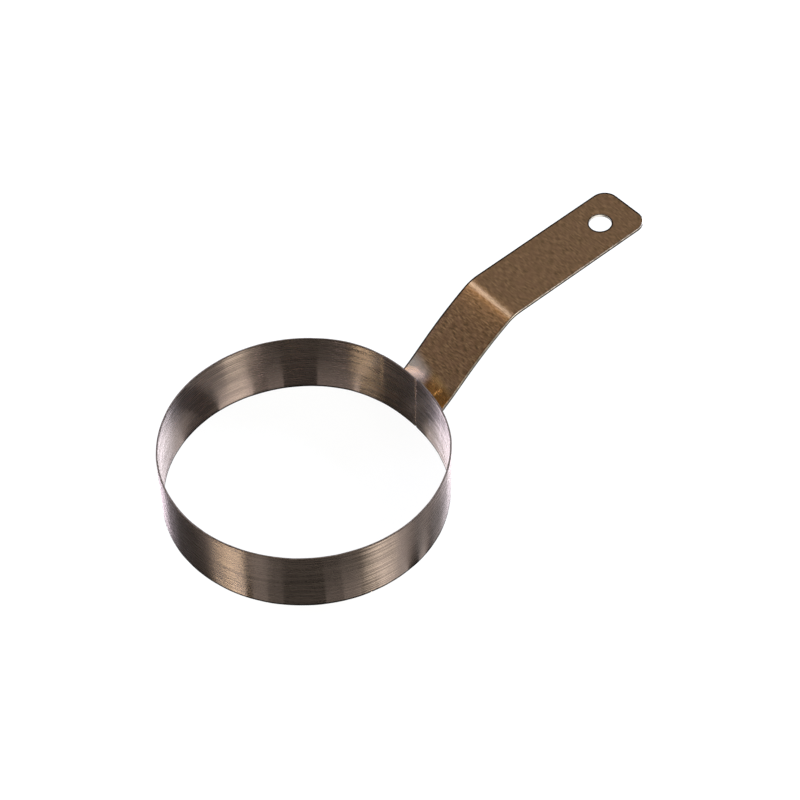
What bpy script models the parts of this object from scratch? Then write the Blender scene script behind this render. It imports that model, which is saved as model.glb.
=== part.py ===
"""Egg ring: a rolled steel band with a bent strip handle that is spot-welded over the band's butt seam.

Units are metres and +Z is up. The ring stands on Z = 0 and the handle runs out along +X. The origin is
at the middle of the part's length and width, on the surface that the ring stands on.

Both sheet pieces are made as they are in the shop: a flat blank with rounded corners is cut, and then
it is rolled or bent. A blank lies in X (along the strip), Y (across it) and Z (through its thickness).
The welds are small discs between the two sheets.
"""
import math

import bmesh
import bpy
from mathutils import Matrix, Vector

# Band
ring_bore = 0.1016
band_height = 0.0254
band_wall = 0.0006
band_corner_radius = 0.0008
seam_gap = 0.0003
seam_angle = math.radians(-1.4)

# Stretch of the band that is drawn in where the handle is welded on
flat_depth = 0.0015
flat_half_angle = math.radians(40)

# Handle strip
handle_width = 0.0238
handle_thickness = 0.0012
handle_edge_radius = 0.00025
tab_corner_radius = 0.0025
grip_corner_radius = 0.0058

# Handle's run along the face that lies on the band, from the tab's lower edge to the grip's end
tab_base_height = 0.0029
tab_length = 0.009
lower_bend_radius = 0.0025
slope_angle = math.radians(43.3)
slope_length = 0.0179
bow_length = 0.024
bow_end_angle = math.radians(33.7)
upper_bend_radius = 0.0135
grip_angle = math.radians(6)
grip_length = 0.0632

# Length over which the tab's crosswise curve dies out, from the start of the lower bend
wrap_fade_length = 0.012

# Hang hole
hang_hole_diameter = 0.0084
hang_hole_setback = 0.0136

# Spot welds
sheet_gap = 0.0003
weld_clearance = 0.00005
weld_diameter = 0.0034
weld_side_margin = 0.0029
weld_row_spacing = 0.0052

# Fineness of the facets
band_step = math.radians(2)
bend_step = math.radians(3)
crosswise_cuts = 12
fade_cuts = 8
corner_steps = 8
edge_steps = 2
hole_segments = 40
weld_segments = 24
smooth_limit = math.radians(35)
tiny = 1e-7


def make_material(name, color, roughness):
    """Bare metal with one colour and one roughness."""
    material = bpy.data.materials.new(name)
    material.use_nodes = True
    shader = material.node_tree.nodes["Principled BSDF"]
    shader.inputs["Base Color"].default_value = (*color, 1.0)
    shader.inputs["Metallic"].default_value = 1.0
    shader.inputs["Roughness"].default_value = roughness
    return material


# Flat blanks

def rounded_rectangle(start, end, width, start_radius, end_radius, inset):
    """Outline from X = start to X = end, centred on Y = 0, moved inwards by the inset."""
    half = width / 2
    corners = [(end - end_radius, half - end_radius, end_radius, 0.0),
               (start + start_radius, half - start_radius, start_radius, 0.5 * math.pi),
               (start + start_radius, start_radius - half, start_radius, math.pi),
               (end - end_radius, end_radius - half, end_radius, 1.5 * math.pi)]
    points = []
    for x, y, radius, first_angle in corners:
        for step in range(corner_steps + 1):
            angle = first_angle + 0.5 * math.pi * step / corner_steps
            reach = radius - inset
            points.append((x + reach * math.cos(angle), y + reach * math.sin(angle)))
    return points


def hole_outline(x, radius, inset):
    """Round hole centred on the strip. An inset widens it, as a rounded edge does."""
    turns = [2 * math.pi * step / hole_segments for step in range(hole_segments)]
    return [(x + (radius + inset) * math.cos(a), (radius + inset) * math.sin(a)) for a in turns]


def edge_profile(thickness, radius):
    """Pairs of inset and depth, from one face of the sheet over its rounded edge to the other face."""
    if radius == 0:
        return [(0.0, 0.0), (0.0, thickness)]
    turns = [0.5 * math.pi * step / edge_steps for step in range(edge_steps + 1)]
    upper = [(radius * (1 - math.sin(a)), radius * (1 - math.cos(a))) for a in turns]
    lower = [(inset, thickness - depth) for inset, depth in reversed(upper)]
    return upper + lower


def cut_blank(outlines, thickness, edge_radius):
    """Closed flat sheet. Each outline is a function that gives its points for an inset."""
    sheet = bmesh.new()
    first_edges = []
    last_edges = []
    for outline in outlines:
        rings = []
        for inset, depth in edge_profile(thickness, edge_radius):
            rings.append([sheet.verts.new((x, y, depth)) for x, y in outline(inset)])
        count = len(rings[0])
        for upper, lower in zip(rings, rings[1:]):
            for i in range(count):
                j = (i + 1) % count
                sheet.faces.new((upper[i], upper[j], lower[j], lower[i]))
        for ring, edges in ((rings[0], first_edges), (rings[-1], last_edges)):
            edges += [sheet.edges.get((ring[i], ring[(i + 1) % count])) for i in range(count)]
    bmesh.ops.triangle_fill(sheet, use_beauty=True, edges=first_edges)
    bmesh.ops.triangle_fill(sheet, use_beauty=True, edges=last_edges)
    return sheet


def cut_lines(sheet, lines_along, lines_across):
    """Scores the blank where it will bend, and joins the fill's slanted triangles between the lines."""
    for places, direction in ((lines_along, Vector((1, 0, 0))), (lines_across, Vector((0, 1, 0)))):
        for place in places:
            everything = sheet.verts[:] + sheet.edges[:] + sheet.faces[:]
            bmesh.ops.bisect_plane(sheet, geom=everything, dist=tiny,
                                   plane_co=direction * place, plane_no=direction)
    sheet.normal_update()
    slanted = []
    for edge in sheet.edges:
        run = edge.verts[1].co - edge.verts[0].co
        on_face = all(abs(face.normal.z) > 0.999 for face in edge.link_faces)
        if on_face and abs(run.x) > tiny and abs(run.y) > tiny:
            slanted.append(edge)
    bmesh.ops.dissolve_edges(sheet, edges=slanted, use_verts=True)


def finish_piece(name, sheet, material, parent):
    """Turns the bent sheet into a smooth-shaded object that hangs from the ring's axis."""
    bmesh.ops.recalc_face_normals(sheet, faces=sheet.faces)
    if sheet.calc_volume(signed=True) < 0:
        bmesh.ops.reverse_faces(sheet, faces=sheet.faces)
    mesh = bpy.data.meshes.new(name)
    sheet.to_mesh(mesh)
    sheet.free()
    mesh.shade_smooth()
    mesh.set_sharp_from_angle(angle=smooth_limit)
    mesh.materials.append(material)
    piece = bpy.data.objects.new(name, mesh)
    piece.parent = parent
    bpy.context.scene.collection.objects.link(piece)
    return piece


# Shape of the band's wall, seen from above, with the ring's axis at X = Y = 0

def bore_radius(angle):
    """Distance from the axis to the band's inner face. The wall is drawn in by a smooth dip at angle 0."""
    if abs(angle) >= flat_half_angle:
        return ring_bore / 2
    return ring_bore / 2 - flat_depth * math.cos(0.5 * math.pi * angle / flat_half_angle) ** 2


def bore_slope(angle):
    """Change of the bore's radius with the angle."""
    if abs(angle) >= flat_half_angle:
        return 0.0
    rate = math.pi / flat_half_angle
    return 0.5 * flat_depth * rate * math.sin(rate * angle)


def wall_normal_angle(angle):
    """Direction in which the wall faces outwards at this angle round the ring."""
    return angle - math.atan2(bore_slope(angle), bore_radius(angle))


def wall_point(angle, offset, height):
    """Point at a distance outside the band's inner face, measured square to the wall."""
    radius = bore_radius(angle)
    facing = wall_normal_angle(angle)
    return Vector((radius * math.cos(angle) + offset * math.cos(facing),
                   radius * math.sin(angle) + offset * math.sin(facing), height))


def wrap(angle):
    """The same angle between minus and plus half a turn."""
    return math.remainder(angle, 2 * math.pi)


def make_ring_band(material, parent):
    """Strip rolled into a ring, with its two ends facing each other across the seam."""
    radius = (ring_bore + band_wall) / 2
    start = radius * seam_angle + seam_gap / 2
    end = radius * (seam_angle + 2 * math.pi) - seam_gap / 2

    def outline(inset):
        return rounded_rectangle(start, end, band_height, band_corner_radius, band_corner_radius, inset)

    strip = cut_blank([outline], band_wall, 0)
    steps = round(2 * math.pi / band_step)
    stations = [radius * 2 * math.pi * k / steps for k in range(-1, steps + 1)]
    cut_lines(strip, [s for s in stations if start + tiny < s < end - tiny], [])
    for vert in strip.verts:
        along, across, depth = vert.co
        vert.co = wall_point(wrap(along / radius), depth, across + band_height / 2)
    return finish_piece("ring_band", strip, material, parent)


# Run of the handle, seen from the side: each stretch has a length and the angles at its two ends

def handle_stretches():
    """Tab, lower bend, slope, bow, upper bend and grip. An angle is the rise above level."""
    upright = 0.5 * math.pi
    stretches = [(tab_length, upright, upright),
                 (lower_bend_radius * (upright - slope_angle), upright, slope_angle),
                 (slope_length, slope_angle, slope_angle),
                 (bow_length, slope_angle, bow_end_angle),
                 (upper_bend_radius * (bow_end_angle - grip_angle), bow_end_angle, grip_angle),
                 (grip_length, grip_angle, grip_angle)]
    return [stretch for stretch in stretches if stretch[0] > 0]


def tab_face_radius():
    """Distance from the ring's axis to the tab's inner face, on the handle's centre line."""
    return bore_radius(0) + band_wall + sheet_gap


def handle_run(distance):
    """Place and angle of the handle's upper face, this far along the strip from the tab's lower edge."""
    x = tab_face_radius()
    z = tab_base_height
    for length, first_angle, last_angle in handle_stretches():
        step = min(max(distance, 0.0), length)
        turn = (last_angle - first_angle) / length
        angle = first_angle + turn * step
        if abs(turn) < tiny:
            x += step * math.cos(angle)
            z += step * math.sin(angle)
        else:
            x += (math.sin(angle) - math.sin(first_angle)) / turn
            z -= (math.cos(angle) - math.cos(first_angle)) / turn
        distance -= length
        if distance <= 0:
            break
    return x, z, angle


def wrap_share(distance):
    """How much of the band's curve the strip still has: all of it on the tab, none past the fade."""
    t = min(max((distance - tab_length) / wrap_fade_length, 0.0), 1.0)
    return 1 - t * t * (3 - 2 * t)


def bend_handle(along, across, depth):
    """Takes a point of the flat blank to its place on the bent handle."""
    x, z, angle = handle_run(along)
    share = wrap_share(along)
    ring_angle = across / tab_face_radius()
    wrapped = wall_point(ring_angle, band_wall + sheet_gap, 0)
    x += share * (wrapped.x - tab_face_radius())
    y = across + share * (wrapped.y - across)
    side = share * wall_normal_angle(ring_angle)
    outwards = Vector((math.cos(side) * math.sin(angle), math.sin(side), -math.cos(side) * math.cos(angle)))
    return Vector((x, y, z)) + depth * outwards


def handle_stations(total):
    """Places along the blank where it is scored: the ends of each stretch, the bends, fade and hole."""
    places = [total - hang_hole_setback]
    reached = 0.0
    for length, first_angle, last_angle in handle_stretches():
        cuts = max(1, math.ceil(abs(last_angle - first_angle) / bend_step - tiny))
        places += [reached + length * k / cuts for k in range(cuts)]
        reached += length
    places += [tab_length + wrap_fade_length * (k + 1) / fade_cuts for k in range(fade_cuts)]
    return sorted(place for place in places if tiny < place < total - tiny)


def make_handle(material, parent):
    """Flat bar with rounded corners and a hang hole, bent so that its tab lies on the band."""
    total = sum(length for length, first_angle, last_angle in handle_stretches())

    def outline(inset):
        return rounded_rectangle(0, total, handle_width, tab_corner_radius, grip_corner_radius, inset)

    def hole(inset):
        return hole_outline(total - hang_hole_setback, hang_hole_diameter / 2, inset)

    strip = cut_blank([outline, hole], handle_thickness, handle_edge_radius)
    half = handle_width / 2
    across = [half * (2 * k / crosswise_cuts - 1) for k in range(1, crosswise_cuts)]
    cut_lines(strip, handle_stations(total), across)
    for vert in strip.verts:
        vert.co = bend_handle(*vert.co)
    return finish_piece("handle", strip, material, parent)


def make_spot_weld(name, side, row, material, parent):
    """Nugget between the sheets. Side is -1 or 1 across the handle, row is -1 (lower) or 1 (upper)."""
    angle = side * (handle_width / 2 - weld_side_margin) / tab_face_radius()
    height = tab_base_height + tab_length / 2 + row * weld_row_spacing / 2
    centre = wall_point(angle, band_wall + sheet_gap / 2, height)
    turned = Matrix.Rotation(wall_normal_angle(angle), 4, "Z") @ Matrix.Rotation(0.5 * math.pi, 4, "Y")
    nugget = bmesh.new()
    bmesh.ops.create_cone(nugget, cap_ends=True, segments=weld_segments, radius1=weld_diameter / 2,
                          radius2=weld_diameter / 2, depth=sheet_gap - 2 * weld_clearance,
                          matrix=Matrix.Translation(centre) @ turned)
    return finish_piece(name, nugget, material, parent)


def end_of(piece, pick):
    """Lowest or highest X of a piece, on the ring's own axis."""
    return pick(vert.co.x for vert in piece.data.vertices)


def main():
    for item in list(bpy.data.objects):
        bpy.data.objects.remove(item, do_unlink=True)

    band_steel = make_material("band_steel", (0.25, 0.2, 0.17), 0.3)
    handle_steel = make_material("handle_steel", (0.24, 0.155, 0.09), 0.25)
    weld_steel = make_material("weld_steel", (0.16, 0.14, 0.12), 0.5)

    axis = bpy.data.objects.new("ring_axis", None)
    bpy.context.scene.collection.objects.link(axis)

    band = make_ring_band(band_steel, axis)
    handle = make_handle(handle_steel, axis)
    for row, row_name in ((1, "upper"), (-1, "lower")):
        for side, side_name in ((1, "left"), (-1, "right")):
            make_spot_weld(f"spot_weld_{row_name}_{side_name}", side, row, weld_steel, axis)

    axis.location.x = -(end_of(band, min) + end_of(handle, max)) / 2


main()
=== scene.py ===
# %% [markdown]
# # Egg ring
#
# An egg ring is about as simple as a kitchen tool can be: one thin steel strip rolled into a ring, and one
# thicker strip bent into a handle and spot-welded over the ring's seam. Everything that makes it look real
# is in the bends of the sheet, in the direction of the brushed grain, and in what the metal reflects.
#
# The construction is loaded as a fixed frame. Its box is kept, because the finished surfaces stay inside it.

# %% Load the frame
import math

import bmesh
import bpy
import numpy as np
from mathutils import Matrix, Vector


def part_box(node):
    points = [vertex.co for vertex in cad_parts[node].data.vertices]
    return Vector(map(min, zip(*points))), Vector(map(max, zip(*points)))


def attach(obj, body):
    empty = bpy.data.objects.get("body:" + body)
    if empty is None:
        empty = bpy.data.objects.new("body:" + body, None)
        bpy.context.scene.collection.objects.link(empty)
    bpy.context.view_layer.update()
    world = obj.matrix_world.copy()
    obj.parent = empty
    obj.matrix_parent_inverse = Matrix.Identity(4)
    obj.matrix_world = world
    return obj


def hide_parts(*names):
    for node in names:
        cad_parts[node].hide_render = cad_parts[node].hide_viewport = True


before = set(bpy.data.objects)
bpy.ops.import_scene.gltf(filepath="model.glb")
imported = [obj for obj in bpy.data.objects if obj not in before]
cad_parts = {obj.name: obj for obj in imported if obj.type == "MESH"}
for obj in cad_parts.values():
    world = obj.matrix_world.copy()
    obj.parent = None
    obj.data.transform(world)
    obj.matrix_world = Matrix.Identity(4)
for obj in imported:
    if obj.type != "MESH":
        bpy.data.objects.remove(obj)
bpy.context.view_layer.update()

# %% [markdown]
# ## Sizes
#
# What can be read from the frame is read from it: the ring's outside diameter and its height. The width of
# the strip, the sheet thicknesses and the bends are a maker's numbers, so they are written down in metres.

# %% Sizes of the two sheets
band_low, band_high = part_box("ring_band")
outer_radius = (band_high.y - band_low.y) / 2
ring_centre_x = band_low.x + outer_radius
band_height = band_high.z - band_low.z
handle_width = 0.0238

band_wall = 0.0006
bore_radius = outer_radius - band_wall
sheet_gap = 0.0003
handle_thickness = 0.0012
print(f"ring {2000 * outer_radius:.1f} mm across and {1000 * band_height:.1f} mm high, "
      f"strip {1000 * handle_width:.1f} mm wide")

# %% [markdown]
# ## The ring's plan
#
# Seen from above the band isn't quite round. Where the handle is welded on, the press has drawn the wall in
# by a millimetre and a half, which flattens it. A plan curve given as radius against angle keeps that in one
# place, so the tab of the handle can follow the same curve.

# %% Plan curve of the wall
flat_depth = 0.0015
flat_half_angle = math.radians(40)


def wall_radius(angle):
    """Bore radius less a dip: its depth times a squared cosine that ends at the half angle."""
    inside = np.abs(angle) < flat_half_angle
    dip = flat_depth * np.cos(0.5 * np.pi * angle / flat_half_angle) ** 2
    return bore_radius - np.where(inside, dip, 0.0)


def wall_facing(angle):
    """Direction of the outward normal: the angle less the arctangent of radius change over radius."""
    inside = np.abs(angle) < flat_half_angle
    rate = np.pi / flat_half_angle
    slope = np.where(inside, 0.5 * flat_depth * rate * np.sin(rate * angle), 0.0)
    return angle - np.arctan2(slope, wall_radius(angle))


def wall_place(angle, offset, height):
    """Point on the plan curve, moved square to the wall by the offset and lifted to the height."""
    radius, facing = wall_radius(angle), wall_facing(angle)
    return np.stack([ring_centre_x + radius * np.cos(angle) + offset * np.cos(facing),
                     radius * np.sin(angle) + offset * np.sin(facing),
                     height + 0 * angle], axis=-1)


print(f"wall drawn in by {1000 * (wall_radius(math.pi) - wall_radius(0.0)):.1f} mm behind the tab")

# %% [markdown]
# ## The seam and the waves
#
# The two ends of the strip meet in a butt seam behind the tab. Nobody gets sheet ends to meet perfectly: at
# the top, one end stands a little inside the other. That small step is a displacement which dies out along
# the wall and towards the base.
#
# Rolled sheet also keeps a few long waves, too shallow to feel, that bend the borders of whatever the wall
# mirrors. Noise could make them, but three sine waves that fit round the ring close on themselves. They
# keep away from the tab, where the two sheets were clamped flat.

# %% Step at the seam, and the slight waves of rolled sheet
seam_angle = math.radians(-1.4)
seam_gap = 0.0001
left_end_inwards = 0.00022
right_end_outwards = 0.00016
step_reach = math.radians(7)
step_start_share = 0.45
wave_depth = 0.00003
highest_wave = 2
wave_tilt = 3


def smooth_step(low, high, value):
    """Zero below low, one above high, and three t squared less two t cubed between."""
    t = np.clip((value - low) / (high - low), 0.0, 1.0)
    return t * t * (3 - 2 * t)


def signed_turn(angle):
    """The same direction as an angle of no more than half a turn, to one side or the other."""
    return (angle + np.pi) % (2 * np.pi) - np.pi


def wall_error(angle, height):
    """How far the wall stands outside its plan curve: the seam's step plus a few long shallow waves.

    The waves count 9, 23 and 41 to the turn. They are lowered by the most they can add up to, so that they
    only ever move the wall inwards, and it stays in the construction's box.
    """
    turn = signed_turn(angle - seam_angle)
    near_top = smooth_step(step_start_share * band_height, band_height, height)
    step = np.where(turn > 0, -left_end_inwards, right_end_outwards)
    step = step * np.exp(-np.abs(turn) / step_reach) * near_top
    tilt = wave_tilt * height / band_height
    waves = np.sin(9 * angle + tilt) + 0.6 * np.sin(23 * angle - tilt + 1) + 0.4 * np.sin(41 * angle + 2)
    away = np.abs(turn) > flat_half_angle / 2
    return step + wave_depth * (waves - highest_wave) * away


print(f"step of {1000 * (left_end_inwards + right_end_outwards):.2f} mm at the top of the seam")

# %% [markdown]
# ## Spot welds
#
# Four spot welds hold the tab. The electrodes leave a shallow round dent on each outer face of the pair of
# sheets. The dents could be cut with booleans, but a press doesn't cut, it pushes, so a small displacement
# shaped like half a cosine wave is simpler and truer.

# %% Dents of the welding electrodes
tab_base_height = 0.0029
tab_length = 0.009
weld_across = 0.009
weld_from_middle = 0.0026
tab_middle = tab_base_height + tab_length / 2
weld_rows = (tab_middle - weld_from_middle, tab_middle + weld_from_middle)
dent_radius = 0.0024
dent_depth = 0.00012


def dents(across, height):
    """Sum over the four welds of half a cosine wave: full depth at a weld's centre, none at its radius."""
    total = 0.0 * (across + height)
    for side in (-weld_across, weld_across):
        for row in weld_rows:
            away = np.hypot(across - side, height - row) / dent_radius
            total = total + dent_depth * 0.5 * (1 + np.cos(np.pi * np.clip(away, 0, 1)))
    return total


print(f"{2 * len(weld_rows)} dents, {2000 * dent_radius:.1f} mm across and {1000 * dent_depth:.2f} mm deep")

# %% [markdown]
# ## Sheets as patches of points
#
# Both pieces are sheets, so one recipe makes both. A flat blank is a grid of points. Its face grid is used
# twice, once for each side of the sheet, and the outline of the grid is carried through the thickness over
# two rounded edges. The outline moves inwards by an inset at each step, so every grid is a function of one
# inset. Bending is a second function, which takes (along, across, depth) to a place on the finished part.
#
# Blender could do this with Solidify and Bevel, but then the weld dents would print through to the far side,
# and the edge would take its grain from the face. Working with arrays keeps both apart. Each patch carries
# the number of its finish, which is its material slot: brushed face, sheared edge or wall of a punched hole.

# %% Helpers: patches into one closed mesh
brushed, sheared, punched = 0, 1, 2
merge_distance = 2e-6
sharp_angle = math.radians(50)


def quads(rows, columns, start):
    """Corner indices of every cell of a grid of points, numbered row by row from start."""
    index = start + np.arange(rows * columns).reshape(rows, columns)
    corners = [index[:-1, :-1], index[1:, :-1], index[1:, 1:], index[:-1, 1:]]
    return np.stack(corners, axis=-1).reshape(-1, 4)


def sheet_object(name, patches, marks):
    """Joins patches of (places, blank coordinates, depth, finish) into one smooth closed object.

    Each mark is a function of the blank coordinates and the depth, and its values are stored on the points.
    """
    points, faces, strips, depths, finishes, start = [], [], [], [], [], 0
    for place, strip, depth, finish in patches:
        rows, columns = place.shape[:2]
        points.append(place.reshape(-1, 3))
        faces.append(quads(rows, columns, start))
        strips.append(strip.reshape(-1, 2))
        depths.append(np.broadcast_to(depth, (rows, columns)).ravel())
        finishes.append(np.broadcast_to(finish, (rows - 1, columns - 1)).ravel())
        start += rows * columns
    points, faces, strips = np.concatenate(points), np.concatenate(faces), np.concatenate(strips)
    depths, finishes = np.concatenate(depths), np.concatenate(finishes)
    mesh = bpy.data.meshes.new(name)
    mesh.from_pydata(points, [], faces)
    layer = mesh.uv_layers.new(name="strip")
    layer.data.foreach_set("uv", strips[faces.ravel()].astype(np.float32).ravel())
    mesh.polygons.foreach_set("material_index", finishes.astype(np.int32))
    for label, measure in marks.items():
        values = mesh.attributes.new(label, "FLOAT", "POINT")
        values.data.foreach_set("value", measure(strips, depths).astype(np.float32))
    shell = bmesh.new()
    shell.from_mesh(mesh)
    bmesh.ops.remove_doubles(shell, verts=shell.verts, dist=merge_distance)
    bmesh.ops.recalc_face_normals(shell, faces=shell.faces)
    if shell.calc_volume(signed=True) < 0:
        bmesh.ops.reverse_faces(shell, faces=shell.faces)
    open_edges = sum(not edge.is_manifold for edge in shell.edges)
    shell.to_mesh(mesh)
    shell.free()
    mesh.shade_smooth()
    mesh.set_sharp_from_angle(angle=sharp_angle)
    piece = bpy.data.objects.new(name, mesh)
    bpy.context.scene.collection.objects.link(piece)
    print(f"{name}: {len(mesh.polygons)} faces, {open_edges} open edges")
    return piece


def edge_steps(thickness, radius, steps=4):
    """Pairs of (inset, depth) from one face to the other over two quarter rounds of the edge radius."""
    turn = np.linspace(0, 0.5 * np.pi, steps + 1)
    upper = np.stack([radius * (1 - np.sin(turn)), radius * (1 - np.cos(turn))], axis=-1)
    lower = np.stack([upper[::-1, 0], thickness - upper[::-1, 1]], axis=-1)
    return np.concatenate([upper, lower])


# %% [markdown]
# ## The band's blank
#
# The blank is a long rectangle with its four corners just broken, which leaves the little V at the top of
# the seam. A plain grid with bevelled corners would do from afar. Here the end rows follow the corner arcs
# instead, so every cell stays a quad. The grid is finer near the seam, where the dents are.

# %% Blank of the band
band_corner = 0.0008
band_edge_radius = 0.00026
roll_radius = bore_radius + band_wall / 2
fine_half_angle = math.radians(16)
fine_step = math.radians(0.25)
coarse_step = math.radians(0.8)
band_corner_rows = 6
band_cells_across = 56


def band_rows():
    """Angles from one end of the strip to the other: fine steps near the seam and coarse ones elsewhere."""
    first = seam_angle + seam_gap / 2 / roll_radius + band_corner / roll_radius
    last = seam_angle + 2 * math.pi - seam_gap / 2 / roll_radius - band_corner / roll_radius
    coarse_start, coarse_end = first + fine_half_angle, last - fine_half_angle
    fine = round(fine_half_angle / fine_step)
    coarse = round((last - first - 2 * fine_half_angle) / coarse_step)
    return np.concatenate([np.linspace(first, coarse_start, fine, endpoint=False),
                           np.linspace(coarse_start, coarse_end, coarse, endpoint=False),
                           np.linspace(coarse_end, last, fine + 1)])


def band_grid(inset):
    """(along, height) of the flat blank. End rows follow the corner arcs: centre less cosine, plus sine."""
    turn = np.linspace(0, 0.5 * np.pi, band_corner_rows + 1)[:-1]
    middle = roll_radius * band_rows()
    start, end = middle[0] - band_corner, middle[-1] + band_corner
    reach = band_corner - inset
    along = np.concatenate([start + band_corner - reach * np.cos(turn), middle,
                            (end - band_corner + reach * np.cos(turn))[::-1]])
    half = band_height / 2 - band_corner + reach * np.sin(turn)
    half = np.concatenate([half, np.full(len(middle), band_height / 2 - inset), half[::-1]])
    share = np.linspace(-1, 1, band_cells_across + 1)
    height = band_height / 2 + half[:, None] * share
    return np.stack([along[:, None] + 0 * height, height], axis=-1)


band_length = roll_radius * (2 * math.pi) - seam_gap
print(f"band blank: {1000 * band_length:.1f} by {1000 * band_height:.1f} by {1000 * band_wall:.1f} mm")

# %% [markdown]
# ## Rolling it up
#
# Rolling turns the distance along the strip into an angle on the plan curve. The electrodes' dents push the
# bore outwards and fade through the sheet, because the tab lies on its other side.
#
# Two marks are stored on the points for the material to read: how near the rim or the base edge is, and how
# much of the welds' heat the place has had. Marks painted by hand would have to be painted again whenever a
# size changes.

# %% Band
base_share = 0.4


def outline_of(grid):
    """The closed outline of a grid: up its last column, back along the last row, down, and home again."""
    return np.concatenate([grid[:, -1], grid[-1, -2::-1], grid[-2::-1, 0], grid[0, 1:]])


def rolled_angle(flat):
    """Distance along the strip over the rolling radius."""
    return signed_turn(flat[..., 0] / roll_radius)


def roll(flat, depth):
    """Place of a point of the blank on the ring. Depth is measured outwards from the bore."""
    angle, height = rolled_angle(flat), flat[..., 1]
    dent = dents(bore_radius * angle, height) * (1 - depth / band_wall)
    return wall_place(angle, depth + wall_error(angle, height) + dent, height)


def band_border(flat, depth):
    """Distance to the rim, or a share of that to the base edge, where the painted contact shadow is wider.

    The ends at the seam are left out, where they touch.
    """
    return np.minimum(base_share * flat[..., 1], band_height - flat[..., 1])


def band_heat(flat, depth):
    """How much heat a point of the blank has had from the welds, from 0 to 1: the shape of the dents."""
    return dents(bore_radius * rolled_angle(flat), flat[..., 1]) / dent_depth


face = band_grid(band_edge_radius)
rim_steps = edge_steps(band_wall, band_edge_radius)
rim = np.stack([outline_of(band_grid(inset)) for inset in rim_steps[:, 0]])
rim_depth = rim_steps[:, 1:]
on_rim = np.abs(rim[:-1, :-1, 1] - band_height / 2) > band_height / 2 - band_edge_radius
band = sheet_object(
    "band",
    [(roll(face, 0.0), face, 0.0, brushed),
     (roll(face, band_wall), face, band_wall, brushed),
     (roll(rim, rim_depth), rim, rim_depth, np.where(on_rim, sheared, brushed))],
    {"border": band_border, "heat": band_heat})

# %% [markdown]
# ## The handle's run
#
# Seen from the side the strip makes six moves: a tab that lies on the band, a tight lower bend, a straight
# slope, a slow bow, an upper bend and the nearly level grip. Each move turns at a steady rate, so the place
# along the strip is an integral with a closed form: sines and cosines over the rate of turn. A curve object
# with a bevel could stand in for it, but a sum of exact moves keeps the strip's length true.

# %% Side view of the handle
slope_angle = math.radians(43.3)
bow_end_angle = math.radians(33.7)
grip_angle = math.radians(6)
upright = 0.5 * math.pi
lower_bend_radius = 0.0025
upper_bend_radius = 0.0135
slope_length = 0.0179
bow_length = 0.024
grip_length = 0.0632
# Each move: its length, the angle at its start and the angle at its end.
run = [(tab_length, upright, upright),
       (lower_bend_radius * (upright - slope_angle), upright, slope_angle),
       (slope_length, slope_angle, slope_angle),
       (bow_length, slope_angle, bow_end_angle),
       (upper_bend_radius * (bow_end_angle - grip_angle), bow_end_angle, grip_angle),
       (grip_length, grip_angle, grip_angle)]
strip_length = sum(length for length, first, last in run)


def tab_face():
    """Distance from the ring's axis to the face of the tab that lies on the band."""
    return float(wall_radius(np.array(0.0))) + band_wall + sheet_gap


def side_view(distance):
    """Reach, height and angle of the strip at a distance along it.

    Each move from angle a to angle b adds (sin b - sin a) / rate to the reach and (cos a - cos b) / rate to
    the height. A straight move adds its length times the cosine and the sine of its angle.
    """
    reach = np.full_like(distance, tab_face())
    height = np.full_like(distance, tab_base_height)
    angle = np.full_like(distance, upright)
    passed = 0.0
    for length, first, last in run:
        step = np.clip(distance - passed, 0, length)
        rate = (last - first) / length
        here = first + rate * step
        if first == last:
            reach = reach + step * math.cos(first)
            height = height + step * math.sin(first)
        else:
            reach = reach + (np.sin(here) - math.sin(first)) / rate
            height = height - (np.cos(here) - math.cos(first)) / rate
        angle = np.where(distance >= passed, here, angle)
        passed += length
    return reach, height, angle


print(f"handle strip: {1000 * strip_length:.1f} mm long in {len(run)} moves")

# %% [markdown]
# ## Wrapping the tab
#
# The tab is curved across its width, because it lies on the round band, and the rest of the strip is flat
# across, so the foot of the slope is a short twisted transition. Sculpting could make it, but here a share
# that falls from one to nothing along the strip blends the two shapes, and it follows every change of size.

# %% Bend of the handle
wrap_fade_length = 0.012


def bend(flat, depth):
    """The tab takes the band's curve across its width. A smooth step lets go of it past the lower bend."""
    along, across = flat[..., 0], flat[..., 1]
    depth = depth - dents(across, tab_base_height + along) * (depth > handle_thickness / 2)
    reach, height, angle = side_view(along)
    share = 1 - smooth_step(tab_length, tab_length + wrap_fade_length, along)
    ring_angle = across / tab_face()
    wrapped = wall_place(ring_angle, band_wall + sheet_gap, 0.0)
    x = ring_centre_x + reach + share * (wrapped[..., 0] - ring_centre_x - tab_face())
    y = across + share * (wrapped[..., 1] - across)
    side = share * wall_facing(ring_angle)
    level = np.cos(side)
    outwards = np.stack([level * np.sin(angle), np.sin(side), -level * np.cos(angle)], axis=-1)
    return np.stack([x, y, height], axis=-1) + depth[..., None] * outwards


tips = bend(np.array([[0.0, 0.0], [strip_length, 0.0]]), np.zeros(2))
print(f"handle reaches {1000 * (tips[1, 0] - tips[0, 0]):.1f} mm out and "
      f"{1000 * (tips[1, 2] - tips[0, 2]):.1f} mm up")

# %% [markdown]
# ## The handle's blank
#
# The long part of the blank is a plain grid, with rows closer together where the strip is bent. Round the
# hang hole a plain grid would leave a jagged hole, so the last square is made of rings instead: the outer
# ring is the blank's outline, the inner one is the hole, and the ones between are straight blends. The two
# meet along one shared row. A boolean would cut the hole too, but it leaves long thin faces round it, which
# shade badly on metal.

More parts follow.
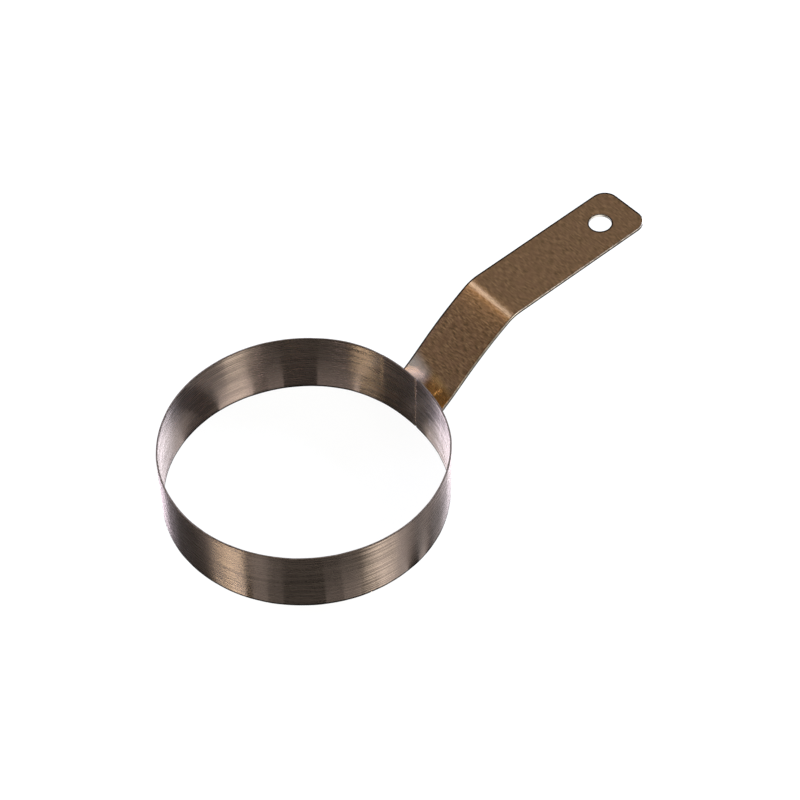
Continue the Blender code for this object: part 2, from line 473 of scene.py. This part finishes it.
# %% Blank of the handle
tab_corner = 0.0025
grip_corner = 0.0058
hole_radius = 0.0042
hole_setback = 0.0136
handle_edge_radius = 0.00025
hole_edge_radius = 0.0002
half_width = handle_width / 2
hole_place = strip_length - hole_setback
eye_start = hole_place - half_width
bent_end = 0.019
bent_rows, straight_rows, tab_corner_rows = 60, 150, 8
grip_corner_steps, side_steps, end_steps = 16, 24, 20
ring_count, ring_growth = 15, 1.2
share_across = np.linspace(-1, 1, 61)


def handle_grid(inset):
    """(along, across) from the tab's rounded corners to the shared row, with rows closer in the bends."""
    turn = np.linspace(0, 0.5 * np.pi, tab_corner_rows + 1)[:-1]
    reach = tab_corner - inset
    middle = np.concatenate([np.linspace(tab_corner, bent_end, bent_rows, endpoint=False),
                             np.linspace(bent_end, eye_start, straight_rows)])
    along = np.concatenate([tab_corner - reach * np.cos(turn), middle])
    half = np.concatenate([half_width - tab_corner + reach * np.sin(turn),
                           np.full(len(middle), half_width - inset)])
    across = half[:, None] * share_across
    return np.stack([along[:, None] + 0 * across, across], axis=-1)


def eye_outline(inset):
    """Open outline of the last square: one side, a corner arc, the end, a corner arc and the other side."""
    side = half_width - inset
    end = strip_length - inset
    reach = grip_corner - inset
    arc = np.linspace(0, 0.5 * np.pi, grip_corner_steps + 1)
    straight = np.linspace(eye_start, strip_length - grip_corner, side_steps + 1)
    across_end = np.linspace(half_width - grip_corner, grip_corner - half_width, end_steps + 1)[1:-1]
    upper = np.stack([straight, np.full_like(straight, side)], axis=-1)
    turn = np.stack([strip_length - grip_corner + reach * np.sin(arc),
                     half_width - grip_corner + reach * np.cos(arc)], axis=-1)
    tip = np.stack([np.full_like(across_end, end), across_end], axis=-1)
    mirror = np.array([1, -1])
    return np.concatenate([upper, turn[1:], tip, turn[::-1] * mirror, upper[-2::-1] * mirror])


def hole_ring(directions, radius):
    """Points on the hole's circle, in the directions of the given outline points."""
    away = directions - np.array([hole_place, 0.0])
    away = away / np.linalg.norm(away, axis=-1, keepdims=True)
    return np.array([hole_place, 0.0]) + radius * away


def eye_grid(inset):
    """Blend from the hole's circle to the closed outline, in steps that grow outwards."""
    along = np.full(len(share_across), eye_start)
    shared_row = np.stack([along, (half_width - inset) * share_across], axis=-1)
    outer = np.concatenate([eye_outline(inset), shared_row[1:]])
    inner = hole_ring(outer, hole_radius + hole_edge_radius)
    blend = np.linspace(0, 1, ring_count)[:, None, None] ** ring_growth
    return inner + blend * (outer - inner)


strip_grid, eye = handle_grid(handle_edge_radius), eye_grid(handle_edge_radius)
print(f"handle blank: {strip_grid.shape[:2]} points for the strip, {eye.shape[:2]} round the hole")

# %% [markdown]
# ## Faces and walls of the handle
#
# Both faces use the same two grids, once at each depth. The walls carry an outline through the sheet over
# two rounded edges: the blank's outline was sheared, and the hang hole was punched, so they get a finish
# each.

# %% Faces and walls of the handle
def face_patch(flat, depth):
    """A patch of brushed face at one depth, as (places, blank coordinates, depth, finish)."""
    return bend(flat, np.full(flat.shape[:2], depth)), flat, depth, brushed


def wall_patch(outline_at, edge_radius, finish):
    """The wall along an outline: its points at each inset of the rounded edges, at that step's depth."""
    steps = edge_steps(handle_thickness, edge_radius)
    flat = np.stack([outline_at(inset) for inset in steps[:, 0]])
    depth = steps[:, 1:] + 0 * flat[..., 0]
    return bend(flat, depth), flat, depth, finish


def handle_outline(inset):
    """Closed outline of the whole blank, from the shared row round the eye and back round the tab."""
    grid = handle_grid(inset)
    return np.concatenate([eye_outline(inset), grid[-2::-1, 0], grid[0, 1:], grid[1:, -1]])


def hole_outline(inset):
    """The hang hole's circle, wider by the inset, with a point for each point of the eye's outline."""
    return hole_ring(eye[-1], hole_radius + inset)


handle_patches = [
    face_patch(strip_grid, 0.0),
    face_patch(eye, 0.0),
    face_patch(strip_grid, handle_thickness),
    face_patch(eye, handle_thickness),
    wall_patch(handle_outline, handle_edge_radius, sheared),
    wall_patch(hole_outline, hole_edge_radius, punched),
]
print(len(handle_patches), "patches")

# %% [markdown]
# ## Marks on the handle
#
# Along most of a cut, and round the hang hole, a dark line is painted shade, and one side is left out of it.
# At the foot of the slope the left of the strip gets a whitish painted highlight, and the right an amber
# painted reflection. Four marks on the points say where all this is, and where the welds' heat was.

# %% Handle
upper_share = 0.6
unshaded_shift = 0.0012
wall_unshaded_shift = 0.00038
hole_unshaded_shift = np.array([0.00014, 0.0002])
lower_hole_factor = 4
lower_lip_shift = 0.00005
highlight_end, highlight_side = (0.0155, 0.0235), (-0.0015, 0.0035)
reflection_end, reflection_side = (0.0175, 0.0240), (-0.005, 0.002)
mark_slant = 0.22


def inside_distance(flat, low, high, corner):
    """Distance in from a rounded rectangle: corner radius, less what passes the corner's centre."""
    low, high = np.array(low), np.array(high)
    past = np.abs(flat - (low + high) / 2) - (high - low) / 2 + corner
    beyond = np.linalg.norm(np.maximum(past, 0), axis=-1)
    return np.min(corner, axis=-1) - beyond - np.minimum(past.max(axis=-1), 0)


def handle_border(flat, depth):
    """Distance to the outline or to the hole, whichever is nearer, with each end's own corners.

    The painted shade leaves one side of a cut out: on the right, above the lower part, the outline counts as
    further away, and lower down the lip shift makes the wall count as lip. It leaves one side of the hole
    out
    too: above, the hole's circle is moved and raised, by more the further a point of the rounded lip is from
    the wall. Lower down the hole's lip is narrow, so the distance counts several times.
    """
    corner = np.where(flat[..., :1] < strip_length / 2, tab_corner, grip_corner)
    above = depth < upper_share * handle_thickness
    unshaded = np.where(depth > 0, wall_unshaded_shift, unshaded_shift) * above
    low = np.stack([0.0 * above, -half_width - unshaded], axis=-1)
    outline = inside_distance(flat, low, (strip_length, half_width), corner) + lower_lip_shift * ~above
    from_hole = flat - (hole_place, 0.0)
    past_wall = np.linalg.norm(from_hole, axis=-1) - hole_radius
    above_share = above * np.clip(past_wall / hole_edge_radius, 0, 1)
    moved = from_hole + hole_unshaded_shift * above_share[..., None]
    hole = np.linalg.norm(moved, axis=-1) - hole_radius + np.linalg.norm(hole_unshaded_shift) * above_share
    return np.minimum(outline, hole * np.where(above, 1, lower_hole_factor))


def foot_share(flat, depth, end):
    """On the upper face, a smooth step down along the strip, on a slant across it."""
    along = 1 - smooth_step(*end, flat[..., 0] - mark_slant * flat[..., 1])
    return along * (depth < handle_thickness / 2)


def painted_foot_highlight(flat, depth):
    """Painted highlight on the foot, from 0 to 1: the foot's share times a smooth step up to the left."""
    return foot_share(flat, depth, highlight_end) * smooth_step(*highlight_side, flat[..., 1])


def painted_foot_reflection(flat, depth):
    """Painted amber reflection on the foot, from 0 to 1: times a smooth step down to the left."""
    return foot_share(flat, depth, reflection_end) * (1 - smooth_step(*reflection_side, flat[..., 1]))


def handle_heat(flat, depth):
    """The welds' heat on the strip, from 0 to 1: the shape of the dents."""
    return dents(flat[..., 1], tab_base_height + flat[..., 0]) / dent_depth


handle = sheet_object(
    "handle_strip", handle_patches,
    {"border": handle_border, "heat": handle_heat, "painted_highlight": painted_foot_highlight, "painted_reflection": painted_foot_reflection})

# %% [markdown]
# ## Brushed grain
#
# Brushing drags an abrasive belt one way over the sheet, so every line is long in one direction and very
# fine in the other. One node group makes that grain for both sheets: noise read on stretched coordinates of
# the flat blank. The band was brushed along the strip and the handle across it, which is only a different
# pair of scales. Fine grain, longer streaks and broad patches come out apart.

# %% Node group for the grain
patch_lines = (300.0, 300.0, 1.0)


def add(tree, kind, inputs=None, **settings):
    """A node with its settings filled in. An input is a value, or the output socket that it is linked to."""
    node = tree.nodes.new(kind)
    for name, value in settings.items():
        setattr(node, name, value)
    for name, value in (inputs or {}).items():
        if isinstance(value, bpy.types.NodeSocket):
            tree.links.new(value, node.inputs[name])
        else:
            node.inputs[name].default_value = value
    return node


def brushed_grain_group():
    """Noise on the blank coordinates times lines per metre, once for the grain and once for the streaks."""
    group = bpy.data.node_groups.new("brushed_grain", "ShaderNodeTree")
    for name in ("Grain lines", "Streak lines"):
        group.interface.new_socket(name, in_out="INPUT", socket_type="NodeSocketVector")
    for name in ("Grain", "Streaks", "Patches"):
        group.interface.new_socket(name, in_out="OUTPUT", socket_type="NodeSocketFloat")
    inside, outside = add(group, "NodeGroupInput"), add(group, "NodeGroupOutput")
    strip = add(group, "ShaderNodeUVMap", uv_map="strip").outputs["UV"]
    for output, lines, detail in (("Grain", inside.outputs[0], 1.0), ("Streaks", inside.outputs[1], 1.0),
                                  ("Patches", patch_lines, 2.0)):
        place = add(group, "ShaderNodeVectorMath", {0: strip, 1: lines}, operation="MULTIPLY").outputs[0]
        noise = add(group, "ShaderNodeTexNoise", {"Vector": place, "Scale": 1.0, "Detail": detail})
        group.links.new(noise.outputs["Fac"], outside.inputs[output])
    return group


grain_group = brushed_grain_group()
print("grain group:", [item.name for item in grain_group.interface.items_tree])

# %% [markdown]
# ## Brushed steel
#
# The grain shows in three ways: in the colour, because dirt and oxide sit in the lines; in the roughness;
# and in the direction of the surface. Along a line the metal also leans a little to one side or the other,
# which frays the borders between the light and dark bands. The shader's anisotropy then smears highlights
# square to the lines, which no bump could do at this scale.
#
# Over that lie the marks on the points, each a colour where its mark is high: the heat tint round the welds,
# a whitish painted highlight on the left of the foot of the slope, and an amber painted reflection on its
# right. Last comes painted shade, a dark line near every cut, where the border mark is low. The band has no
# painted highlight or reflection, so it lacks those marks, and a missing mark reads as nothing.

# %% Brushed steel
# Painted shade: the dark line along every cut and lip, and the contact shadow at the band's base.
painted_edge_shade = (0.009, 0.005, 0.0035, 1)
# Each mark: its name, the value where its colour starts, the most it covers, and the colour.
# The heat tint is a real colour; the whitish mark is a painted highlight and the amber one a painted
# reflection.
mark_colors = (("heat", 0.2, 0.6, (0.075, 0.060, 0.060, 1)),
               ("painted_highlight", 0.0, 0.75, (0.65, 0.59, 0.50, 1)),
               ("painted_reflection", 0.0, 0.85, (0.97, 0.56, 0.165, 1)))
grain_range = (0.38, 0.62)
streak_range = (0.3, 0.7)
patch_range, patch_share = (0.4, 0.7), 0.6
roughness_spread = 0.03
scratch_depth = 0.0001
border_fade = 1.3


def mixed_color(tree, share, first, second):
    """First colour where the share is 0 and the second where it is 1."""
    node = add(tree, "ShaderNodeMix", {0: share, 6: first, 7: second}, data_type="RGBA")
    return node.outputs[2]


def ramp(tree, value, low, high, start=0.0, end=1.0):
    """Straight ramp from start at the low value to end at the high one, held at both ends."""
    node = add(tree, "ShaderNodeMapRange", {"Value": value, "From Min": low, "From Max": high,
                                            "To Min": start, "To Max": end})
    return node.outputs["Result"]


def marked(tree, name):
    """The value of a mark on the points."""
    return add(tree, "ShaderNodeAttribute", attribute_name=name).outputs["Fac"]


def grain_color(tree, grain, share, colors, border_width):
    """Dark to light lines by the share, then patches, then the colour of each mark, then painted shade at
    borders.
    """
    dark_lines, light_lines, patches = colors
    color = mixed_color(tree, share, (*dark_lines, 1), (*light_lines, 1))
    patchy = ramp(tree, grain.outputs["Patches"], *patch_range, 0.0, patch_share)
    color = mixed_color(tree, patchy, color, (*patches, 1))
    for name, low, most, tint in mark_colors:
        color = mixed_color(tree, ramp(tree, marked(tree, name), low, 1.0, 0.0, most), color, tint)
    past_border = ramp(tree, marked(tree, "border"), border_width, border_fade * border_width)
    return mixed_color(tree, past_border, painted_edge_shade, color)


def grain_normal(tree, grain, height, tangent, lean, relief):
    """Normal plus the tangent times the streaks' lean, made one long again, and then bumped by the lines."""
    amount = ramp(tree, grain.outputs["Streaks"], *streak_range, -lean, lean)
    aside = add(tree, "ShaderNodeVectorMath", {0: tangent, "Scale": amount}, operation="SCALE").outputs[0]
    normal = add(tree, "ShaderNodeNewGeometry").outputs["Normal"]
    leaning = add(tree, "ShaderNodeVectorMath", {0: normal, 1: aside}, operation="ADD").outputs[0]
    facing = add(tree, "ShaderNodeVectorMath", {0: leaning}, operation="NORMALIZE").outputs[0]
    return add(tree, "ShaderNodeBump", {"Strength": relief, "Distance": scratch_depth, "Height": height,
                                        "Normal": facing}).outputs["Normal"]


def brushed_steel(name, colors, lines, roughness, anisotropic, turn, lean, relief, border_width):
    """Metal whose colour, roughness and normal follow the grain.

    Colours are those of dark lines, light lines and patches. Lines per metre, along and across the strip,
    are given for the grain and for the streaks. The turn is the anisotropy's, in parts of a full turn, the
    lean tips the surface along the strip, and the relief is the strength of the bump.
    """
    material = bpy.data.materials.new(name)
    material.use_nodes = True
    tree = material.node_tree
    shader = tree.nodes["Principled BSDF"]
    shader.inputs["Metallic"].default_value = 1.0
    shader.inputs["Anisotropic"].default_value = anisotropic
    shader.inputs["Anisotropic Rotation"].default_value = turn
    grain = add(tree, "ShaderNodeGroup", node_tree=grain_group)
    for socket, (along, across) in zip(grain.inputs, lines):
        socket.default_value = (along, across, 1.0)
    halves = {0: 0.5, 2: grain.outputs["Grain"], 3: grain.outputs["Streaks"]}
    both = add(tree, "ShaderNodeMix", halves).outputs[0]
    share = ramp(tree, both, *grain_range)
    dullness = ramp(tree, share, 0.0, 1.0, roughness - roughness_spread, roughness + roughness_spread)
    tangent = add(tree, "ShaderNodeTangent", direction_type="UV_MAP", uv_map="strip").outputs["Tangent"]
    tree.links.new(grain_color(tree, grain, share, colors, border_width), shader.inputs["Base Color"])
    tree.links.new(dullness, shader.inputs["Roughness"])
    tree.links.new(grain_normal(tree, grain, both, tangent, lean, relief), shader.inputs["Normal"])
    tree.links.new(tangent, shader.inputs["Tangent"])
    print(f"{name}: {len(tree.nodes)} nodes")
    return material


band_steel = brushed_steel(
    "band_steel", ((0.212, 0.158, 0.131), (0.293, 0.218, 0.182), (0.235, 0.172, 0.148)),
    ((45, 2400), (18, 1200)),
    roughness=0.27, anisotropic=1.0, turn=0.25, lean=0.014, relief=0.1, border_width=0.0003)
handle_steel = brushed_steel(
    "handle_steel", ((0.152, 0.088, 0.042), (0.319, 0.185, 0.097), (0.240, 0.132, 0.073)),
    ((3400, 500), (2200, 320)),
    roughness=0.19, anisotropic=0.4, turn=0.0, lean=0.0, relief=0.12, border_width=0.00062)

# %% [markdown]
# ## Cut edges and welds
#
# The edges were cut, not brushed, so they have no grain direction and scatter light evenly. The wall of a
# cut is bright, but the lips where it turns into the faces are painted dark as shade: the border mark tells
# them apart, as it is nothing on the wall and grows over the rounded lip. The side that the painted shade
# leaves out has a higher mark than any lip, so it stays bright too. The sheared edge is duller than the wall
# of the punched hole, which the punch has burnished. The thin rim of the band is all lip: its near-black
# colour is painted shade. The weld nuggets lie between the sheets and hardly show; they are dull and have
# run colours.

# %% Cut steel and weld metal
lip_roughness = 0.75
lip_start = 0.00003
lip_fade = 1.1
speckle_range = (0.35, 0.65)
speckle_relief, speckle_depth = 0.2, 0.00005
dullness_spread = 0.06


def plain_steel(name, dark, light, roughness, scale=900.0, slant_tint=0.05, lip_end=None):
    """Metal with an even speckle, noise in Object coordinates, and painted shade on the lips, by the border
    mark.

    Clean metal turns white at a slant. The slant tint takes that back; below one it keeps edges dark as
    painted shade.
    """
    material = bpy.data.materials.new(name)
    material.use_nodes = True
    tree = material.node_tree
    shader = tree.nodes["Principled BSDF"]
    shader.inputs["Metallic"].default_value = 1.0
    shader.inputs["Specular Tint"].default_value = (slant_tint, slant_tint, slant_tint, 1)
    place = add(tree, "ShaderNodeTexCoord").outputs["Object"]
    noise = add(tree, "ShaderNodeTexNoise", {"Vector": place, "Scale": scale, "Detail": 3.0})
    speckle = noise.outputs["Fac"]
    share = ramp(tree, speckle, *speckle_range)
    color = mixed_color(tree, share, (*dark, 1), (*light, 1))
    dullness = ramp(tree, share, 0.0, 1.0, roughness - dullness_spread, roughness + dullness_spread)
    if lip_end is not None:
        border = marked(tree, "border")
        past_wall = ramp(tree, border, 0.0, lip_start)
        before_unshaded = ramp(tree, border, lip_end, lip_fade * lip_end, 1.0, 0.0)
        lip = add(tree, "ShaderNodeMath", {0: past_wall, 1: before_unshaded}, operation="MULTIPLY").outputs[0]
        color = mixed_color(tree, lip, color, painted_edge_shade)
        dullness = add(tree, "ShaderNodeMix", {0: lip, 2: dullness, 3: lip_roughness}).outputs[0]
    tree.links.new(color, shader.inputs["Base Color"])
    tree.links.new(dullness, shader.inputs["Roughness"])
    bump = add(tree, "ShaderNodeBump", {"Strength": speckle_relief, "Distance": speckle_depth,
                                        "Height": speckle})
    tree.links.new(bump.outputs["Normal"], shader.inputs["Normal"])
    print(f"{name}: {len(tree.nodes)} nodes")
    return material


# The rim's near-black colour is painted shade, for the dark line along the rim.
rim_steel_painted_shade = plain_steel("rim_steel_painted_shade", (0.045, 0.033, 0.027), (0.085, 0.065, 0.055), 0.72)
cut_steel = plain_steel("cut_steel", (0.155, 0.125, 0.10), (0.25, 0.205, 0.17), 0.36, lip_end=0.00026)
punched_steel = plain_steel("punched_steel", (0.70, 0.64, 0.56), (0.88, 0.82, 0.74), 0.36, lip_end=0.0006)
weld_steel = plain_steel("weld_metal", (0.10, 0.085, 0.085), (0.21, 0.18, 0.15), 0.5, 700.0, slant_tint=1.0)

# %% [markdown]
# ## Hang the pieces on the frame
#
# Each material goes into the slot that its finish is numbered for. Both sheets ride the frame's one body and
# take the place of their construction nodes. The weld discs are right as the construction has them, so those
# nodes stay, and only their material changes.

# %% Hang the pieces on the frame
for piece, steels in ((band, (band_steel, rim_steel_painted_shade)), (handle, (handle_steel, cut_steel, punched_steel))):
    for steel in steels:
        piece.data.materials.append(steel)

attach(band, "root")
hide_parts("ring_band")
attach(handle, "root")
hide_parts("handle")
for height in ("upper", "lower"):
    for side in ("left", "right"):
        bpy.data.objects[f"spot_weld_{height}_{side}"].material_slots[0].material = weld_steel

# %% [markdown]
# ## Studio
#
# Brushed metal has hardly any look of its own: it shows its surroundings, smeared across the grain. So the
# studio matters as much as the material. The floor glows white to the camera and in reflections, and Light
# Path tells those rays from the ones that carry light. A small share of it is plain diffuse for them too,
# which keeps the object's shadow. A curved backdrop could hide the horizon, but so wide a floor needs none.

# %% Floor and world
floor_half_size = 4.0
floor_drop = 0.0001
floor_glow_share = 0.94


def flat_object(name, corners, faces):
    """A flat mesh object of its own."""
    mesh = bpy.data.meshes.new(name)
    mesh.from_pydata(corners, [], faces)
    piece = bpy.data.objects.new(name, mesh)
    bpy.context.scene.collection.objects.link(piece)
    return piece


def floor_paint():
    """White glow for camera, glossy and transmission rays, mixed with a diffuse white for all others."""
    material = bpy.data.materials.new("floor_paint")
    material.use_nodes = True
    tree = material.node_tree
    tree.nodes.clear()
    path = add(tree, "ShaderNodeLightPath")
    seen = path.outputs["Is Camera Ray"]
    for ray in ("Is Glossy Ray", "Is Transmission Ray"):
        seen = add(tree, "ShaderNodeMath", {0: seen, 1: path.outputs[ray]}, operation="MAXIMUM").outputs[0]
    share = add(tree, "ShaderNodeMath", {0: seen, 1: floor_glow_share}, operation="MULTIPLY").outputs[0]
    diffuse = add(tree, "ShaderNodeBsdfDiffuse", {"Color": (0.8, 0.8, 0.8, 1)}).outputs[0]
    glow = add(tree, "ShaderNodeEmission", {"Color": (1, 1, 1, 1), "Strength": 1.0}).outputs[0]
    mix = add(tree, "ShaderNodeMixShader", {0: share, 1: diffuse, 2: glow}).outputs[0]
    add(tree, "ShaderNodeOutputMaterial", {"Surface": mix})
    return material


square = floor_half_size * np.array([(-1, -1), (1, -1), (1, 1), (-1, 1)])
floor = flat_object("floor", [(x, y, -floor_drop) for x, y in square], [(0, 1, 2, 3)])
floor.data.materials.append(floor_paint())

world_level = 0.32
world = bpy.data.worlds.new("studio")
world.use_nodes = True
background = world.node_tree.nodes["Background"]
background.inputs["Color"].default_value = (1, 1, 1, 1)
background.inputs["Strength"].default_value = world_level
bpy.context.scene.world = world
print(f"floor {2 * floor_half_size:.0f} m wide, world at {world_level}")

# %% [markdown]
# ## Cards
#
# A photographer who shoots brushed metal lays cards round it. The metal mirrors the dark and grey ones as
# the bands that give it shape, and the bright ones as its pale sides. Here they lie on the floor. The gaps
# between them are where the white floor shows in the metal.
#
# The cards are cut along mirrored sight lines: a sight line from the camera to the wall leaves it again by
# the law of reflection, so a card between two such lines shows as a band with upright sides. Each is given
# by the angles of wall that mirror it, in degrees, its distances from the wall in millimetres, and its tone.
# Inside the ring the sight lines cross each other, so the cards overlap. They are laid like playing cards,
# each a hair above the last, over a bed of whole sectors, whose distances are from the ring's axis.

# %% Cards on the floor
camera_place = Vector((ring_centre_x - 0.27425, -0.39291, 0.56376))
millimetre = 0.001
first_drop, drop_step = 0.00009, 0.0000015
degrees_per_cell = 1.5
dark, bright = 0.07, 1.4
bed_sectors = [
    (0, 360, 0, 20, dark), (0, 96, 20, 50.5, dark), (144, 264, 20, 50.5, dark), (-40, 0, 46, 50.5, bright),
]
outer_cards = [
    (148, 167, 0, 800, 0.1), (166, 192, 0, 150, dark), (192, 195.5, 0, 150, 0.14), (195.5, 203, 0, 50, 0.6),
    (209.3, 212, 0, 50, dark), (212, 218, 0, 50, 0.45), (204, 216, 50, 150, dark), (218, 224, 0, 50, 0.22),
    (224, 240, 0, 12, dark), (240, 247, 0, 12, 0.3), (247, 254, 0, 12, 0.5), (254, 258, 0, 12, 0.15),
    (224, 258, 12, 50, dark), (222, 258, 50, 150, dark), (258, 261.5, 0, 12, 0.4), (258, 268, 12, 50, 0.56),
    (275.5, 281.5, 0, 50, dark), (286, 291, 0, 12, 0.12), (291, 305, 0, 12, 0.45), (285, 307, 12, 30, dark),
    (305, 326, 0, 800, 0.1),
]
inner_cards = [
    (-40, -9.5, 0, 23, bright), (-9.5, 20, 3, 12, dark), (-9.5, 1, 0, 3, 0.2), (1, 20, 0, 3, dark),
    (21, 29.5, 0, 6, 0.2), (20, 29.5, 6, 12, dark), (29.5, 32, 0, 12, 1.2), (32, 48, 0, 12, 0.5),
    (48, 62, 0, 12, 0.1), (62, 69, 0, 12, 0.52), (69, 75.5, 0, 12, 0.25), (75.5, 92, 0, 12, 1.4),
    (92, 114, 0, 12, 0.13), (114, 124, 0, 12, 1.15), (124, 146, 0, 12, 0.35),
]


def mirrored_places(angle, distance, offset):
    """Wall point plus distance times the sight line less twice its part along the wall's normal."""
    wall, facing = wall_place(angle, offset, 0.0)[..., :2], wall_facing(angle)
    normal = np.stack([np.cos(facing), np.sin(facing)], axis=-1)
    sight = wall - np.array(camera_place.xy)
    sight = sight / np.linalg.norm(sight, axis=-1, keepdims=True)
    return wall + distance * (sight - 2 * np.sum(sight * normal, axis=-1, keepdims=True) * normal)


def sector_places(angle, distance, offset):
    """Points at the given angle and distance from the ring's axis."""
    return np.array([ring_centre_x, 0.0]) + distance * np.stack([np.cos(angle), np.sin(angle)], axis=-1)


places, cells, tones, count = [], [], [], 0
for cards, lay, offset in ((bed_sectors, sector_places, 0.0), (outer_cards, mirrored_places, band_wall),
                           (inner_cards, mirrored_places, 0.0)):
    for start, end, near, far, tone in cards:
        drop = first_drop - drop_step * len(places)
        angle = np.radians(np.linspace(start, end, 2 + int((end - start) / degrees_per_cell)))
        grid = np.stack([lay(angle, millimetre * near, offset), lay(angle, millimetre * far, offset)])
        cells.append(quads(*grid.shape[:2], count))
        places.append(np.concatenate([grid.reshape(-1, 2), np.full((2 * len(angle), 1), -drop)], axis=1))
        tones.append(np.full(len(cells[-1]), tone))
        count += len(places[-1])
card_sheet = flat_object("dark_cards", np.concatenate(places), np.concatenate(cells))
tone_layer = card_sheet.data.attributes.new("tone", "FLOAT", "FACE")
tone_layer.data.foreach_set("value", np.concatenate(tones).astype(np.float32))
print(f"{len(places)} cards")

# %% [markdown]
# Each face of the cards carries its tone, and one glowing material reads it. Painted cards would need light
# on them, and then their tones would change with every lamp. They are hidden from every kind of ray but
# reflections, so they neither light the object nor show in the picture.

# %% Paint of the cards
card_paint = bpy.data.materials.new("card_paint")
card_paint.use_nodes = True
tree = card_paint.node_tree
tree.nodes.clear()
card_glow = add(tree, "ShaderNodeEmission", {"Strength": marked(tree, "tone")})
add(tree, "ShaderNodeOutputMaterial", {"Surface": card_glow.outputs[0]})
card_sheet.data.materials.append(card_paint)
for ray in ("camera", "diffuse", "transmission", "volume_scatter", "shadow"):
    setattr(card_sheet, "visible_" + ray, False)
print("tones from", min(map(np.min, tones)), "to", max(map(np.max, tones)))

# %% [markdown]
# ## Soft boxes
#
# Eleven soft boxes stand round the table, all at one distance. Two low ones at the back skim the walls and
# make the pale sides. Two small ones behind and above the handle light its slope. Two in front make the tan
# bands on either side of the middle, and a wide, weak fill lifts what lies between. Four overhead draw the
# bright line along the upper bend and the soft sheen of the grip. Each is given by where it is seen from the
# object, in degrees: azimuth, elevation, width and height, and by its brightness in red, green and blue. The
# watts follow from its area: a rectangle sends out pi times its area times its brightness.

# %% Soft boxes
lamp_distance = 2.0
soft_boxes = {
    "back_right": (358, 24, 27, 32, (43, 51.5, 66)),
    "back_left": (114, 17, 28, 18, (65, 74, 98)),
    "behind_handle": (51, 15, 10, 30, (10, 12, 17)),
    "above_handle": (63, 22.5, 14, 15, (23, 21, 18)),
    "front_left": (182, 15, 17, 30, (22, 19.5, 13.5)),
    "front_right": (279.5, 25, 20.5, 50, (18.5, 19.2, 17.5)),
    "overhead": (103.5, 55.5, 18, 7, (4.0, 4.9, 6.4)),
    "overhead_soft": (121, 48, 18, 16, (1.15, 0.98, 0.72)),
    "overhead_grip": (87, 55, 12, 9, (0.66, 0.58, 0.42)),
    "above_grip": (58, 51, 46, 26, (0.27, 0.29, 0.3)),
    "fill": (230, 11, 64, 22, (1.3, 1.38, 1.2)),
}


def soft_box(name, azimuth, elevation, width, height, color):
    """Rectangle whose sides are twice the distance times the tangent of half the angle it is seen under."""
    azimuth, elevation, width, height = np.radians([azimuth, elevation, width, height])
    brightness = max(color)
    data = bpy.data.lights.new(name, "AREA")
    data.shape = "RECTANGLE"
    data.size = 2 * lamp_distance * math.cos(elevation) * math.tan(width / 2)
    data.size_y = 2 * lamp_distance * math.tan(height / 2)
    data.energy = math.pi * data.size * data.size_y * brightness
    data.color = [part / brightness for part in color]
    lamp = bpy.data.objects.new(name, data)
    lamp.location = lamp_distance * Vector((math.cos(elevation) * math.cos(azimuth),
                                            math.cos(elevation) * math.sin(azimuth), math.sin(elevation)))
    lamp.rotation_euler = lamp.location.to_track_quat("Z", "Y").to_euler()
    lamp.visible_camera = False
    bpy.context.scene.collection.objects.link(lamp)
    print(f"{name}: {data.size:.2f} by {data.size_y:.2f} m, {data.energy:.1f} W")


for name, settings in soft_boxes.items():
    soft_box(name, *settings)

# %% [markdown]
# ## Camera
#
# The picture was taken from above one side of the ring, at 47 degrees, with a long lens. The ellipses
# of the rim and of the base edge fix all of that: their tilt gives the height of the view, and the
# difference between them gives the distance.

# %% Camera
sensor_width, focal_length, nearest = 36, 93.28, 0.05
tilt_roll_heading = (42.7692, 0.2852, -39.2283)
camera_data = bpy.data.cameras.new("camera")
camera_data.sensor_width = sensor_width
camera_data.lens = focal_length
camera_data.clip_start = nearest
camera = bpy.data.objects.new("camera", camera_data)
camera.location = camera_place
camera.rotation_euler = np.radians(tilt_roll_heading)
bpy.context.scene.collection.objects.link(camera)
bpy.context.scene.camera = camera
bpy.context.scene.view_settings.view_transform = "Standard"
print(f"camera {camera_place.length:.2f} m away, {focal_length} mm lens")
